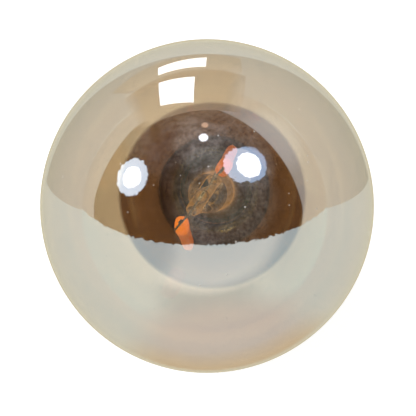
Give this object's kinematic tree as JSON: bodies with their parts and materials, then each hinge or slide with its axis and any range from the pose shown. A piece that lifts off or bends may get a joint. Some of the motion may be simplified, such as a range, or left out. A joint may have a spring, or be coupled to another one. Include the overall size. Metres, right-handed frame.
{
  "type": "vintage led bulb",
  "caption": "Globe lamp with a half-mirrored amber glass envelope, upright LED filaments on a glass stem, and an E27 screw cap.",
  "frame": {"origin": "tip of the centre contact, on the lamp's axis", "axes": "+Z along the lamp's axis, from the screw cap to the crown of the globe"},
  "size_m": [0.095, 0.095, 0.138],
  "materials": {
    "mirror_amber_glass": "blown glass with a thin half-mirrored amber coat",
    "clear_glass": "flame-worked lead-free glass, slightly rippled",
    "orange_phosphor": "cast silicone filled with phosphor, satin",
    "strip_ceramic": "fired white strip",
    "chip_blue": "diced crystal, smooth",
    "nickel_wire": "drawn nickel wire, dull",
    "nickel_tab": "stamped nickel strip",
    "nickel_plated_brass": "rolled shell, bright nickel plate",
    "black_glass": "pressed black glass, glossy",
    "tin_solder": "soft solder, smooth and slightly grey",
    "basing_cement": "baked cement, matt",
    "board_laminate": "glass laminate with green resist",
    "capacitor_sleeve": "shrunk sleeve",
    "moulded_package": "moulded epoxy",
    "resistor_coat": "dipped coat",
    "tinned_copper": "tinned copper wire"
  },
  "bodies": {
    "root": {"basing_cement": "basing_cement", "bridge_rectifier": "moulded_package", "bridge_wire": "nickel_wire", "cap_insulator": "black_glass", "cap_shell": "nickel_plated_brass", "centre_contact": "tin_solder", "driver_board": "board_laminate", "driver_chip": "moulded_package", "exhaust_tube": "clear_glass", "filament_a_chips": "chip_blue", "filament_a_lower_terminal": "nickel_tab", "filament_a_phosphor": "orange_phosphor", "filament_a_strip": "strip_ceramic", "filament_a_upper_terminal": "nickel_tab", "filament_b_chips": "chip_blue", "filament_b_lower_terminal": "nickel_tab", "filament_b_phosphor": "orange_phosphor", "filament_b_strip": "strip_ceramic", "filament_b_upper_terminal": "nickel_tab", "fusible_resistor": "resistor_coat", "glass_envelope": "mirror_amber_glass", "lead_wire_a": "nickel_wire", "lead_wire_b": "nickel_wire", "live_wire": "tinned_copper", "neutral_wire": "tinned_copper", "side_solder": "tin_solder", "smoothing_capacitor": "capacitor_sleeve", "stem_glass": "clear_glass"}
  },
  "joints": []
}
